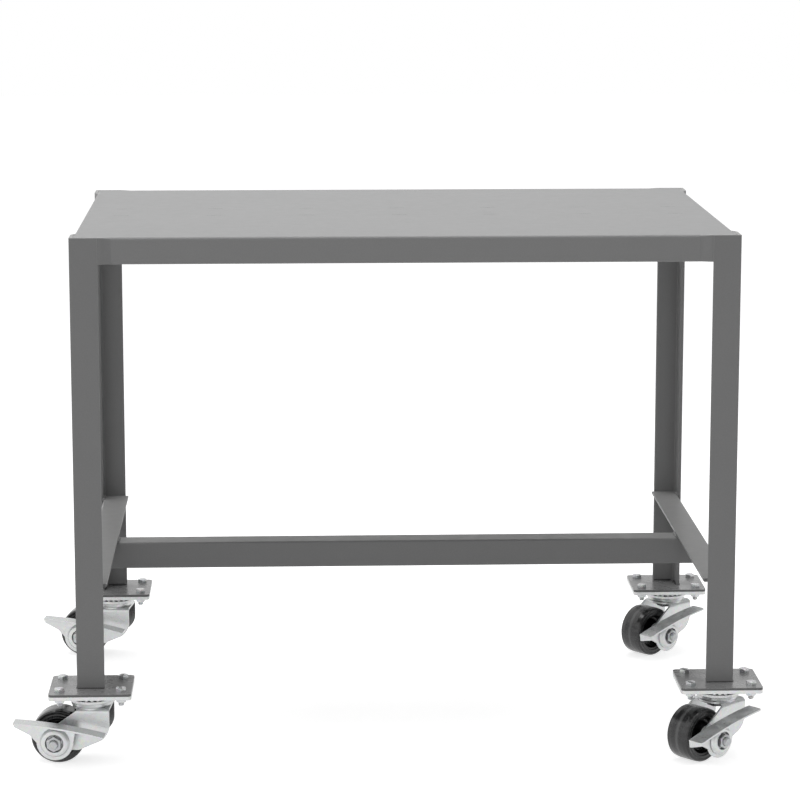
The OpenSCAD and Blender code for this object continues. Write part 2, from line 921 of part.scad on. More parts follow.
deck();
deck_stiffener();
leg(corner_fl);  // leg_front_left
leg(corner_fr);  // leg_front_right
leg(corner_rl);  // leg_rear_left
leg(corner_rr);  // leg_rear_right
side_stretcher(-1);  // side_stretcher_left
side_stretcher(1);  // side_stretcher_right
center_stretcher();
leg_plate(corner_fl);  // leg_plate_fl
leg_plate(corner_fr);  // leg_plate_fr
leg_plate(corner_rl);  // leg_plate_rl
leg_plate(corner_rr);  // leg_plate_rr
mount_bolts();
mount_nuts();
kingpins();
caster_plate(corner_fl);  // caster_plate_fl
caster_plate(corner_fr);  // caster_plate_fr
caster_plate(corner_rl);  // caster_plate_rl
caster_plate(corner_rr);  // caster_plate_rr
swivel_balls(corner_fl, swivel_angle_fl);  // swivel_balls_fl
swivel_balls(corner_fr, swivel_angle_fr);  // swivel_balls_fr
swivel_balls(corner_rl, swivel_angle_rl);  // swivel_balls_rl
swivel_balls(corner_rr, swivel_angle_rr);  // swivel_balls_rr
swivel_fork(corner_fl, swivel_angle_fl);  // swivel_fork_fl
swivel_fork(corner_fr, swivel_angle_fr);  // swivel_fork_fr
swivel_fork(corner_rl, swivel_angle_rl);  // swivel_fork_rl
swivel_fork(corner_rr, swivel_angle_rr);  // swivel_fork_rr
wheel(corner_fl, swivel_angle_fl);  // wheel_fl
wheel(corner_fr, swivel_angle_fr);  // wheel_fr
wheel(corner_rl, swivel_angle_rl);  // wheel_rl
wheel(corner_rr, swivel_angle_rr);  // wheel_rr
hub_bearing(corner_fl, swivel_angle_fl);  // hub_bearing_fl
hub_bearing(corner_fr, swivel_angle_fr);  // hub_bearing_fr
hub_bearing(corner_rl, swivel_angle_rl);  // hub_bearing_rl
hub_bearing(corner_rr, swivel_angle_rr);  // hub_bearing_rr
axle_bolt(corner_fl, swivel_angle_fl);  // axle_bolt_fl
axle_bolt(corner_fr, swivel_angle_fr);  // axle_bolt_fr
axle_bolt(corner_rl, swivel_angle_rl);  // axle_bolt_rl
axle_bolt(corner_rr, swivel_angle_rr);  // axle_bolt_rr
axle_nut(corner_fl, swivel_angle_fl);  // axle_nut_fl
axle_nut(corner_fr, swivel_angle_fr);  // axle_nut_fr
axle_nut(corner_rl, swivel_angle_rl);  // axle_nut_rl
axle_nut(corner_rr, swivel_angle_rr);  // axle_nut_rr
pressure_disc(corner_fl, swivel_angle_fl);  // pressure_disc_fl
pressure_disc(corner_fr, swivel_angle_fr);  // pressure_disc_fr
pressure_disc(corner_rl, swivel_angle_rl);  // pressure_disc_rl
pressure_disc(corner_rr, swivel_angle_rr);  // pressure_disc_rr
brake_shoe(corner_fl, swivel_angle_fl, false);  // brake_shoe_fl
brake_shoe(corner_fr, swivel_angle_fr, true);  // brake_shoe_fr
brake_shoe(corner_rl, swivel_angle_rl, false);  // brake_shoe_rl
brake_shoe(corner_rr, swivel_angle_rr, true);  // brake_shoe_rr
brake_cam(corner_fl, swivel_angle_fl, -rock);  // brake_cam_fl
brake_cam(corner_fr, swivel_angle_fr, rock);  // brake_cam_fr
brake_cam(corner_rl, swivel_angle_rl, -rock);  // brake_cam_rl
brake_cam(corner_rr, swivel_angle_rr, rock);  // brake_cam_rr
brake_lever(corner_fl, swivel_angle_fl, -rock);  // brake_lever_fl
brake_lever(corner_fr, swivel_angle_fr, rock);  // brake_lever_fr
brake_lever(corner_rl, swivel_angle_rl, -rock);  // brake_lever_rl
brake_lever(corner_rr, swivel_angle_rr, rock);  // brake_lever_rr
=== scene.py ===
import math

import bmesh
import bpy
from mathutils import Matrix, Vector


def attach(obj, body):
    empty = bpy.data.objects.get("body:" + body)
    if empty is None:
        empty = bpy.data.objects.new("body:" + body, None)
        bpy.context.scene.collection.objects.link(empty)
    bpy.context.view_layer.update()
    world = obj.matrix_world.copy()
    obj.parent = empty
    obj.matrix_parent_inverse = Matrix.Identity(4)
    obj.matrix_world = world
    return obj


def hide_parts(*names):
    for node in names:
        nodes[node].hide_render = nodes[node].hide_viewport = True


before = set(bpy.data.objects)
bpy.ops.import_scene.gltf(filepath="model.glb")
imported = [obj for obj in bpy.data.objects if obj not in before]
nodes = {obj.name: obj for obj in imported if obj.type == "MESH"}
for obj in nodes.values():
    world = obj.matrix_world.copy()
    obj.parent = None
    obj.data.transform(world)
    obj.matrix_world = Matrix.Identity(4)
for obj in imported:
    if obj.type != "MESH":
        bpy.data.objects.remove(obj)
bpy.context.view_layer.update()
CORNERS = ("fl", "fr", "rl", "rr")

# Sizes of the solids that the welds, fasteners and finishes follow, in metres. AF is across flats
TABLE_W, TABLE_D, TABLE_H = 0.9144, 0.6096, 0.7366
ANGLE_W, ANGLE_T = 0.0381, 0.00476
DECK_SHEET, DECK_BEND, DECK_FLANGE = 0.0019, 0.0038, 0.037
FOOT_Z = 0.1077
SIDE_TOP = TABLE_H - 0.4826
BRIM_Y = 0.043
TRAIL, WHEEL_R = 0.046, 0.0381
CHEEK_INSIDE, CHEEK_OUT, CROWN_UNDERSIDE = 0.0255, 0.0284, 0.0781
DISC_RECESS = 0.0135
BOLT_R, BOLT_AF, BOLT_PITCH, BOLT_HEAD, BOLT_DEPTH = 0.004, 0.013, 0.00125, 0.0053, 0.0202
BOLT_X, BOLT_Y = 0.0425, 0.033
NUT_DEPTH, NUT_H = 0.0152, 0.0068
AXLE_R, AXLE_AF, AXLE_PITCH, AXLE_HEAD = 0.006, 0.019, 0.00175, 0.0075
AXLE_NUT_Y, AXLE_NUT_H, AXLE_END = 0.0499, 0.008, 0.0627

# Swivel angle of each caster in degrees, how much painted shade darkens the top of its pedal, and how much
# painted shade lies inside its fork
SWIVEL = {"fl": 175.5, "fr": 220.5, "rl": 172.0, "rr": 220.5}
PEDAL_SHADE_AMOUNT = {"fl": 0.08, "fr": 0.60, "rl": 0.05, "rr": 0.60}
FORK_SHADE_AMOUNT = {"fl": 0.85, "fr": 0.12, "rl": 0.75, "rr": 0.12}


def corner_sign(corner):
    """Side of the table on which a corner lies, as the signs of its X and Y."""
    return (-1 if corner[1] == "l" else 1), (-1 if corner[0] == "f" else 1)


def swivel_axis(corner):
    """X and Y of the swivel axis of a caster."""
    sx, sy = corner_sign(corner)
    return sx * (TABLE_W - ANGLE_W) / 2, sy * (TABLE_D - ANGLE_W) / 2


def corner_place(corner):
    """Frame of a caster: X along its trail, origin on the floor under its swivel axis."""
    spot = Vector((*swivel_axis(corner), 0))
    return Matrix.Translation(spot) @ Matrix.Rotation(math.radians(SWIVEL[corner]), 4, "Z")


def leg_faces(corner):
    """X and Y of the outer faces of a leg, of its toes and of its inner faces."""
    sx, sy = corner_sign(corner)
    return [(sx * (TABLE_W / 2 - depth), sy * (TABLE_D / 2 - depth)) for depth in (0, ANGLE_W, ANGLE_T)]


# Materials, with shades as linear red, green and blue

# The foot weld colour is a painted shadow
DECK_SHADE, FRAME_SHADE, FOOT_SHADOW_COLOUR = (0.285, 0.285, 0.286), (0.262, 0.262, 0.263), (0.07, 0.07, 0.071)
# Colours laid on as painted light and shade: pale upper faces of the frame, pedal tops, fork insides, axle
# recesses and the mould line of the tread
PAINTED_TOP_LIGHT, PEDAL_SHADOW_COLOUR = (0.62, 0.62, 0.61), (0.20, 0.20, 0.205)
FORK_SHADOW_COLOUR, RECESS_SHADOW_COLOUR = (0.075, 0.075, 0.077), (0.22, 0.22, 0.225)
TREAD_HIGHLIGHT_COLOUR = (0.10, 0.10, 0.101)

# Width over which one finish gives way to another at a sharp line
SHARP_STEP = 0.0002


class Nodes:
    """A node tree under construction: makes nodes and joins their sockets."""

    def __init__(self, tree):
        self.tree = tree

    def feed(self, socket, value):
        """Joins an output to the socket, or sets the socket to a plain value or colour."""
        if hasattr(value, "is_output"):
            self.tree.links.new(value, socket)
        elif socket.type == "RGBA":
            socket.default_value = (*value, 1)
        else:
            socket.default_value = value

    def node(self, kind, **values):
        made = self.tree.nodes.new(kind)
        for key, value in values.items():
            if key in made.inputs:
                self.feed(made.inputs[key], value)
            else:
                setattr(made, key, value)
        return made

    def maths(self, operation, first, second=None):
        made = self.node("ShaderNodeMath", operation=operation)
        self.feed(made.inputs[0], first)
        if second is not None:
            self.feed(made.inputs[1], second)
        return made.outputs["Value"]

    def vector_maths(self, operation, first, second=None, result="Vector"):
        made = self.node("ShaderNodeVectorMath", operation=operation)
        self.feed(made.inputs[0], first)
        if second is not None:
            self.feed(made.inputs[1], second)
        return made.outputs[result]

    def part_of(self, vector, axis):
        return self.node("ShaderNodeSeparateXYZ", Vector=vector).outputs[axis]

    def spread(self, source, low, high, from_low=0.3, from_high=0.7):
        """Maps the source from one range of values to another and holds it at the ends."""
        ends = {"From Min": from_low, "From Max": from_high, "To Min": low, "To Max": high}
        return self.node("ShaderNodeMapRange", Value=source, **ends).outputs["Result"]

    def either(self, factor, first, second):
        """The first shader where the factor is 0, and the second where it is 1."""
        made = self.node("ShaderNodeMixShader")
        for socket, value in zip(made.inputs, (factor, first, second)):
            self.feed(socket, value)
        return made.outputs["Shader"]


class Paint(Nodes):
    """A material under construction, whose patterns lie on Object coordinates."""

    def __init__(self, name):
        self.material = bpy.data.materials.new(name)
        self.material.use_nodes = True
        super().__init__(self.material.node_tree)
        self.shader = self.tree.nodes["Principled BSDF"]
        coords = self.node("ShaderNodeTexCoord")
        self.spot = coords.outputs["Object"]
        self.facing = coords.outputs["Normal"]

    def noise(self, scale, detail=3.0, roughness=0.55, stretch=(1, 1, 1)):
        spot = self.node("ShaderNodeMapping", Vector=self.spot, Scale=stretch).outputs["Vector"]
        made = self.node("ShaderNodeTexNoise", Vector=spot, Scale=scale, Detail=detail, Roughness=roughness)
        return made.outputs["Fac"]

    def cells(self, scale):
        return self.node("ShaderNodeTexVoronoi", Vector=self.spot, Scale=scale).outputs["Color"]

    def blend(self, factor, first, second):
        made = self.node("ShaderNodeMix", data_type="RGBA", Factor=factor)
        colours = [socket for socket in made.inputs if socket.type == "RGBA"]
        for socket, colour in zip(colours, (first, second)):
            self.feed(socket, colour)
        return next(socket for socket in made.outputs if socket.type == "RGBA")

    def axle_reach(self, centre, axis):
        """Distance from the wheel's middle plane, and distance from its axle."""
        out = self.vector_maths("SUBTRACT", self.spot, centre)
        along = self.vector_maths("DOT_PRODUCT", out, axis, "Value")
        across = self.vector_maths("CROSS_PRODUCT", out, axis)
        return self.maths("ABSOLUTE", along), self.vector_maths("LENGTH", across, result="Value")

    def upward(self, amount, slope, flat):
        """0 on faces steeper than the slope, and the amount on flat ones, both as the normal's Z."""
        return self.spread(self.part_of(self.facing, "Z"), 0.0, amount, slope, flat)

    def rounded_normal(self, radius):
        return self.node("ShaderNodeBevel", samples=6, Radius=radius).outputs["Normal"]

    def edge(self, radius, low, high):
        """1 along outer edges and 0 on flats, from how far a rounded normal leans off the real one."""
        plain = self.node("ShaderNodeNewGeometry").outputs["Normal"]
        lean = self.vector_maths("DOT_PRODUCT", self.rounded_normal(radius), plain, "Value")
        return self.spread(lean, 0.0, 1.0, high, low)

    def bump(self, height, strength, distance, normal=None):
        made = self.node("ShaderNodeBump", Strength=strength, Distance=distance, Height=height)
        if normal is not None:
            self.feed(made.inputs["Normal"], normal)
        return made.outputs["Normal"]

    def finish(self, colour, roughness, normal, gloss=0.5, metal=0.0):
        self.feed(self.shader.inputs["Base Color"], colour)
        self.feed(self.shader.inputs["Roughness"], roughness)
        self.feed(self.shader.inputs["Normal"], normal)
        self.shader.inputs["Specular IOR Level"].default_value = gloss
        self.shader.inputs["Metallic"].default_value = metal
        return self.material


def shaded(shade, share):
    """The shade made darker, or paler where the share is over 1."""
    return tuple(min(1, c * share) for c in shade)


def enamel(name, shade, peel, rough=(0.40, 0.50), gloss=0.22, edges=1.18, waves=0.12,
           lit_tops=0.0, painted_shade_below=None):
    """Grey baked enamel: fine orange peel, faint clouds in the colour, worn paint and painted highlight on
    edges.

    edges is how much lighter the paint is there and waves how uneven the sheet is. Pale colour on upper
    faces, in the amount given, is painted light, and under the height given last the paint is darker, as
    painted shade."""
    p = Paint(name)
    clouds = p.blend(p.spread(p.noise(9, 4), 0.0, 1.0), shaded(shade, 0.975), shaded(shade, 1.025))
    specks = p.blend(p.spread(p.noise(420, 2), 0.0, 1.0), shaded(shade, 0.95), shaded(shade, 1.05))
    colour = p.blend(0.5, clouds, specks)
    # Lighter paint along the edges: worn paint and painted highlight
    colour = p.blend(p.edge(0.0012, 0.80, 0.99), colour, shaded(shade, edges))
    # Pale colour on upper faces: painted light
    if lit_tops:
        colour = p.blend(p.upward(lit_tops, 0.7, 0.95), colour, PAINTED_TOP_LIGHT)
    # Darker paint below the height given: painted shade on the sides of the plates
    if painted_shade_below:
        side = p.spread(p.part_of(p.spot, "Z"), 1.0, 0.0, painted_shade_below - 0.0001, painted_shade_below)
        colour = p.blend(side, colour, shaded(shade, 0.42))
    normal = p.bump(p.noise(650, 1), peel, 0.0002, p.rounded_normal(0.0012))
    normal = p.bump(p.noise(45, 2), waves, 0.0006, normal)
    return p.finish(colour, p.spread(p.noise(60, 3), *rough), normal, gloss)


def zinc(name, shade, rough_low, rough_high, radius, film=None):
    """Bright zinc on stamped steel: soft spangle, fine draw lines and dull patches.

    film is a function that lays one more colour over these."""
    p = Paint(name)
    bright = p.blend(0.10, shade, p.cells(260))
    colour = p.blend(p.spread(p.noise(55, 4), 0.0, 1.0), bright, shaded(shade, 0.93))
    if film:
        colour = film(p, colour)
    draw_lines = p.noise(220, 3, 0.6, (1, 1, 6))
    normal = p.bump(p.noise(320, 2), 0.10, 0.0002, p.rounded_normal(radius))
    return p.finish(colour, p.spread(draw_lines, rough_low, rough_high), normal, metal=0.75)


def shaded_pedal_tops(amount):
    """Darker colour in streaks on the upper faces of a pedal: painted shade."""
    def film(p, colour):
        streaks = p.spread(p.noise(48, 4, 0.6), 0.35, 1.0, 0.38, 0.62)
        # Upper faces darkened in streaks: painted shade
        pedal_shade = p.maths("MULTIPLY", p.upward(amount, 0.55, 0.9), streaks)
        return p.blend(pedal_shade, colour, PEDAL_SHADOW_COLOUR)
    return film


def shaded_fork_inside(centre, axis, amount):
    """Painted shade inside a fork, between the cheeks and under the crown."""
    def film(p, colour):
        side, _ = p.axle_reach(centre, axis)
        between = p.spread(side, amount, 0.0, CHEEK_INSIDE, CHEEK_INSIDE + SHARP_STEP)
        height = p.part_of(p.spot, "Z")
        below = p.spread(height, 1.0, 0.0, CROWN_UNDERSIDE, CROWN_UNDERSIDE + SHARP_STEP)
        # Darker colour between the cheeks and under the crown: painted shade
        return p.blend(p.maths("MULTIPLY", between, below), colour, FORK_SHADOW_COLOUR)
    return film


def shaded_axle_recess(centre, axis, radius):
    """Painted shade in specks round an axle end, in the recess of the pressure disc."""
    def film(p, colour):
        _, reach = p.axle_reach(centre, axis)
        near = p.spread(reach, 0.75, 0.0, radius * 0.7, radius)
        specks = p.spread(p.noise(330, 3, 0.6), 0.25, 1.0, 0.42, 0.60)
        # Darker specks near the axle: painted shade in the recess
        return p.blend(p.maths("MULTIPLY", near, specks), colour, RECESS_SHADOW_COLOUR)
    return film


def phenolic(name, centre, axis):
    """Black moulded phenolic: glossy, mottled by its filler, with turned ridges, painted reflections as
    pale streaks and near-black patches, and a painted highlight along the mould line.
    """
    p = Paint(name)
    side, reach = p.axle_reach(centre, axis)
    mottle = p.spread(p.noise(190, 5, 0.7), 0.0, 1.0, 0.42, 0.68)
    pale_streaks = p.spread(p.noise(70, 4, 0.6, (1, 1, 3)), 0.0, 1.0, 0.55, 0.75)
    reflective = p.spread(p.noise(42, 3, 0.5), 0.0, 1.0, 0.47, 0.54)
    colour = p.blend(mottle, (0.011, 0.011, 0.012), (0.026, 0.026, 0.027))
    # Pale streaks and near-black patches: painted reflections
    colour = p.blend(pale_streaks, colour, (0.050, 0.050, 0.051))
    colour = p.blend(reflective, colour, (0.004, 0.004, 0.004))
    near_middle = p.spread(side, 1.0, 0.0, 0.0008, 0.0040)
    on_tread = p.spread(reach, 0.0, 1.0, WHEEL_R - 0.0015, WHEEL_R - 0.0009)
    # Paler line along the middle of the tread: painted highlight
    colour = p.blend(p.maths("MULTIPLY", near_middle, on_tread), colour, TREAD_HIGHLIGHT_COLOUR)
    ridge_pitch = 0.0048
    ridges = p.maths("SINE", p.maths("MULTIPLY", reach, math.tau / ridge_pitch))
    normal = p.bump(ridges, 0.5, 0.0004, p.rounded_normal(0.0011))
    normal = p.bump(p.noise(500, 2), 0.15, 0.0002, normal)
    return p.finish(colour, p.spread(p.noise(120, 3), 0.15, 0.27), normal, 0.55)


def bronze(name):
    """Sintered bronze bush: dull and porous."""
    p = Paint(name)
    pores = p.spread(p.noise(900, 3, 0.7), 0.0, 1.0)
    colour = p.blend(pores, (0.45, 0.30, 0.14), (0.62, 0.45, 0.22))
    return p.finish(colour, p.spread(p.noise(300, 2), 0.35, 0.55), p.bump(pores, 0.2, 0.0002), metal=1.0)


STAMPING_LOOK = ((0.66, 0.67, 0.67), 0.24, 0.46, 0.0008)
deck_grey = enamel("deck_grey_enamel", DECK_SHADE, 0.28, (0.43, 0.47), waves=0.008)
# Frame paint: lighter edges as worn paint and painted highlight, and pale upper faces as painted light
frame_grey = enamel("frame_grey_enamel", FRAME_SHADE, 0.34, edges=1.45, lit_tops=0.22)
# Dark paint for the foot welds: painted shadow at the foot of the legs
foot_shadow_grey = enamel("foot_shadow_enamel", FOOT_SHADOW_COLOUR, 0.34)
# Leg plates, darker on their sides as painted shade
foot_grey = enamel("leg_plate_enamel", DECK_SHADE, 0.5, (0.22, 0.36), 0.55, painted_shade_below=FOOT_Z - 0.0003)
plate_zinc = zinc("zinc_stamping", *STAMPING_LOOK)
hardware_zinc = zinc("zinc_hardware", (0.62, 0.63, 0.64), 0.20, 0.36, 0.0005)
# Darker copy of the hardware zinc for the axle bolts and nuts: painted shade round the axle ends
shaded_axle_zinc = zinc("zinc_axle_hardware", (0.46, 0.47, 0.48), 0.24, 0.42, 0.0005)
ball_steel = zinc("polished_ball_steel", (0.58, 0.59, 0.60), 0.08, 0.16, 0.0002)
bush_bronze = bronze("bush_bronze")


def finish_node(name, material):
    mesh = nodes[name].data
    mesh.materials.clear()
    mesh.materials.append(material)


# Finishes by how a name starts, where the first that fits counts. Wheels, levers, forks and pressure
# discs get finishes of their own in the loop over the corners
FINISHES = (
    ("deck", deck_grey),
    ("leg_plate", foot_grey),
    (("leg_", "side_", "center_"), frame_grey),
    ("hub_bearing", bush_bronze),
    ("swivel_balls", ball_steel),
    (("mount_", "axle_", "kingpins"), hardware_zinc),
    (("caster_plate", "brake_cam", "brake_shoe"), plate_zinc))

for name in nodes:
    fitting = [material for starts, material in FINISHES if name.startswith(starts)]
    if fitting:
        finish_node(name, fitting[0])

for corner in CORNERS:
    place = corner_place(corner)
    centre = place @ Vector((TRAIL, 0, WHEEL_R))
    axis = place.to_3x3() @ Vector((0, 1, 0))
    finish_node("wheel_" + corner, phenolic("black_phenolic_" + corner, centre, axis))
    # Pedal tops, fork insides and the middle of the pressure discs get painted shade
    for stamping, film in (
            ("brake_lever_", shaded_pedal_tops(PEDAL_SHADE_AMOUNT[corner])),
            ("swivel_fork_", shaded_fork_inside(centre, axis, FORK_SHADE_AMOUNT[corner])),
            ("pressure_disc_", shaded_axle_recess(centre, axis, DISC_RECESS))):
        name = stamping + corner
        finish_node(name, zinc("zinc_" + name, *STAMPING_LOOK, film))


# Welds: rods half sunk in the steel along the seams, and ramps from the leg tops to the deck

RIPPLE, SLOW_RIPPLE = 0.0031, 0.0113


def rod_along(bm, start, end, radius, sides=12, ripple=0.10, turn=0.0):
    """Adds a rippled rod from start to end, with its ends drawn in."""
    step, draw_in = 0.0012, 0.003
    start, end = Vector(start), Vector(end)
    length = (end - start).length
    rod = bmesh.new()
    bmesh.ops.create_cone(
        rod, cap_ends=True, cap_tris=False, segments=sides, radius1=radius, radius2=radius, depth=length)
    long_edges = [e for e in rod.edges if abs(e.verts[0].co.z - e.verts[1].co.z) > length / 2]
    bmesh.ops.subdivide_edges(rod, edges=long_edges, cuts=max(2, int(length / step)), use_grid_fill=True)
    for v in rod.verts:
        along = v.co.z + length / 2
        near_end = min(along, length - along)
        grow = 1 + ripple * math.sin(along / RIPPLE * math.tau)
        grow += 0.4 * ripple * math.sin(along / SLOW_RIPPLE * math.tau + 1)
        grow *= 0.72 + 0.28 * min(1, near_end / draw_in)
        v.co.x *= grow
        v.co.y *= grow
    aim = (end - start).to_track_quat("Z", "Y").to_matrix().to_4x4()
    place = Matrix.Translation((start + end) / 2) @ aim @ Matrix.Rotation(turn, 4, "Z")
    bmesh.ops.transform(rod, matrix=place, verts=rod.verts)
    whole = bpy.data.meshes.new("rod")
    rod.to_mesh(whole)
    rod.free()
    bm.from_mesh(whole)
    bpy.data.meshes.remove(whole)


def piece(bm, name, material, body):
    """Turns a finished bmesh into a piece that rides on a body."""
    bmesh.ops.recalc_face_normals(bm, faces=bm.faces)
    mesh = bpy.data.meshes.new(name)
    bm.to_mesh(mesh)
    bm.free()
    for face in mesh.polygons:
        face.use_smooth = True
    mesh.materials.append(material)
    made = bpy.data.objects.new(name, mesh)
    bpy.context.scene.collection.objects.link(made)
    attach(made, body)
    return made


def foot_welds():
    """Fillets round the foot of each leg, on the leg plate: thin ones outside, wider ones inside, painted
    dark as the shadow where each leg stands on its plate.
    """
    thin, wide = 0.0014, 0.0022
    lift = FOOT_Z + 0.0001
    bm = bmesh.new()
    for corner in CORNERS:
        sx, sy = corner_sign(corner)
        (x_out, y_out), (x_toe, y_toe), (x_face, y_face) = leg_faces(corner)
        rod_along(bm, (x_out, y_out - sy * 0.001, lift), (x_out, y_toe + sy * 0.001, lift), thin)
        rod_along(bm, (x_out - sx * 0.001, y_out, lift), (x_toe + sx * 0.001, y_out, lift), thin)
        rod_along(bm, (x_face, y_face - sy * 0.005, lift), (x_face, y_toe + sy * 0.002, lift), wide)
        rod_along(bm, (x_face - sx * 0.005, y_face, lift), (x_toe + sx * 0.002, y_face, lift), wide)
    piece(bm, "foot_welds", foot_shadow_grey, "table")


def seam_ramp(bm, toe, along, inward, low):
    """Weld ground to a smooth ramp from the toe of a leg to the face and the bend of the deck.

    Each point of its profile is a depth behind the leg's outer face and a height. The top starts a hair
    above the leg and ends a hair below the deck."""
    run, steps, turns = 0.020, 16, 6
    hair, tight_bend = 0.00006, 0.0003
    deep = ANGLE_T + DECK_BEND + 0.0012
    rings = []
    for i in range(steps + 1):
        part = i / steps
        ease = part * part * (3 - 2 * part)
        face = (ANGLE_T + hair) * ease
        bend = tight_bend + (DECK_BEND - tight_bend) * ease
        level = TABLE_H + hair * (1 - 2 * ease)
        profile = [(ANGLE_T + 0.0008, low), (face, low)]
        for k in range(turns + 1):
            turn = k / turns * math.pi / 2
            profile.append((face + bend * (1 - math.cos(turn)), level - bend * (1 - math.sin(turn))))
        profile += [(deep, level - 0.00002), (deep, level - 0.0009)]
        place = toe + along * run * part
        rings.append([bm.verts.new((*(place + inward * d).xy, z)) for d, z in profile])
    count = len(rings[0])
    for first, second in zip(rings, rings[1:]):
        for i in range(count):
            k = (i + 1) % count
            made = bm.faces.new((first[i], first[k], second[k], second[i]))
            # The bands at the foot and at the back meet the others at hard edges
            if i in (0, count - 2, count - 1):
                for edge in made.edges:
                    if abs(edge.verts[0].co.z - edge.verts[1].co.z) < 0.0002:
                        edge.smooth = False
    for ring in (rings[0], rings[-1]):
        for edge in bm.faces.new(ring).edges:
            edge.smooth = False


def deck_welds():
    """Seams between the toes of the legs and the deck flanges, and ground fills along the leg tops."""
    low = TABLE_H - DECK_FLANGE + 0.0006
    half = DECK_BEND / 2
    level = TABLE_H - half - 0.0001
    bm = bmesh.new()
    for corner in CORNERS:
        sx, sy = corner_sign(corner)
        (x_out, y_out), (x_toe, y_toe), (x_face, y_face) = leg_faces(corner)
        seam_ramp(bm, Vector((x_toe, y_out, 0)), Vector((-sx, 0, 0)), Vector((0, -sy, 0)), low)
        seam_ramp(bm, Vector((x_out, y_toe, 0)), Vector((0, -sy, 0)), Vector((-sx, 0, 0)), low)
        x_fill, y_fill = x_face - sx * half, y_face - sy * half
        for start, end in (
                ((x_face - sx * 0.003, y_fill, level), (x_toe - sx * 0.001, y_fill, level)),
                ((x_fill, y_face - sy * 0.003, level), (x_fill, y_toe, level))):
            rod_along(bm, start, end, half * math.sqrt(2), sides=4, ripple=0.0, turn=math.pi / 4)
    piece(bm, "deck_welds", frame_grey, "table")


def stretcher_welds():
    """Fillets at the ends of the side stretchers and where the middle one meets them."""
    down, along_top, middle = 0.0028, 0.0024, 0.0026
    end_y = TABLE_D / 2 - ANGLE_T - 0.006
    bm = bmesh.new()
    for sx in (-1, 1):
        x_leg = sx * (TABLE_W / 2 - ANGLE_T)
        x_toe = sx * (TABLE_W / 2 - ANGLE_T - ANGLE_W)
        for sy in (-1, 1):
            y_end = sy * end_y
            low = SIDE_TOP - ANGLE_W + 0.002
            rod_along(bm, (x_leg, y_end, SIDE_TOP - 0.003), (x_leg, y_end, low), down)
            x_top, z_top = x_leg - sx * 0.0004, SIDE_TOP - 0.0003
            y_toe = sy * (TABLE_D / 2 - ANGLE_W)
            rod_along(bm, (x_top, y_toe, z_top), (x_top, y_end - sy * 0.001, z_top), along_top)
        z_mid = SIDE_TOP - ANGLE_T
        rod_along(bm, (x_toe, -ANGLE_W / 2 + 0.004, z_mid), (x_toe, ANGLE_W / 2 - 0.002, z_mid), middle)
    piece(bm, "stretcher_welds", frame_grey, "table")


def stiffener_welds():
    """Stitch welds along the brims of the hat section under the deck."""
    bm = bmesh.new()
    z_sheet = TABLE_H - DECK_SHEET
    stitches, half_span, half_stitch, bead = 7, 0.40, 0.013, 0.0022
    for sy in (-1, 1):
        y = sy * BRIM_Y
        for i in range(stitches):
            x = (2 * i / (stitches - 1) - 1) * half_span
            rod_along(bm, (x - half_stitch, y, z_sheet), (x + half_stitch, y, z_sheet), bead)
    piece(bm, "stiffener_welds", deck_grey, "table")


foot_welds()
deck_welds()
stretcher_welds()
stiffener_welds()


# Bolts and nuts, with chamfers and threads

# Points round a head and a shank, rings in each turn of a thread, and the least step or clearance
HEX_STEPS, SHANK_STEPS, RINGS_PER_TURN = 72, 40, 7
FIT = 0.00005


def strip(bm, lower, upper):
    """Joins two rings of points with a band of faces."""
    count = len(lower)
    for i in range(count):
        k = (i + 1) % count
        bm.faces.new((lower[i], lower[k], upper[k], upper[i]))


def ring_at(bm, place, radii, levels):
    """Points round the Z axis of a place, each with its own radius and level."""
    count = len(radii)
    made = []
    for i in range(count):
        turn = i / count * math.tau
        spot = Vector((radii[i] * math.cos(turn), radii[i] * math.sin(turn), levels[i]))
        made.append(bm.verts.new(place @ spot))
    return made


def hexagon(bm, place, flats, base, height, bore, chamfer=(True, True)):
    """Hexagon head or nut along Z from base, with its corners cut back by a cone at either end."""
    count = HEX_STEPS
    mouth_depth, mouth_width = 0.0003, 0.0004
    corner = [flats / 2 / math.cos((i / count * math.tau + math.pi / 6) % (math.pi / 3) - math.pi / 6)
              for i in range(count)]
    face_r = flats / 2 * 0.955
    slope = math.tan(math.radians(28))
    cut = [(r - face_r) * slope for r in corner]
    flat_r = [face_r] * count
    low_r = flat_r if chamfer[0] else corner
    high_r = flat_r if chamfer[1] else corner
    lift = cut if chamfer[0] else [FIT] * count
    drop = cut if chamfer[1] else [FIT] * count
    rings = [
        ring_at(bm, place, low_r, [base] * count),
        ring_at(bm, place, corner, [base + c for c in lift]),
        ring_at(bm, place, corner, [base + height - c for c in drop]),
        ring_at(bm, place, high_r, [base + height] * count)]
    for lower, upper in zip(rings, rings[1:]):
        strip(bm, lower, upper)
    if bore:
        inner_top = ring_at(bm, place, [bore] * count, [base + height - mouth_depth] * count)
        mouth_top = ring_at(bm, place, [bore + mouth_width] * count, [base + height] * count)
        mouth_low = ring_at(bm, place, [bore + mouth_width] * count, [base] * count)
        inner_low = ring_at(bm, place, [bore] * count, [base + mouth_depth] * count)
        for lower, upper in ((rings[3], mouth_top), (mouth_top, inner_top), (inner_top, inner_low),
                             (inner_low, mouth_low), (mouth_low, rings[0])):
            strip(bm, lower, upper)
    else:
        bm.faces.new(rings[0])
        bm.faces.new(rings[3])


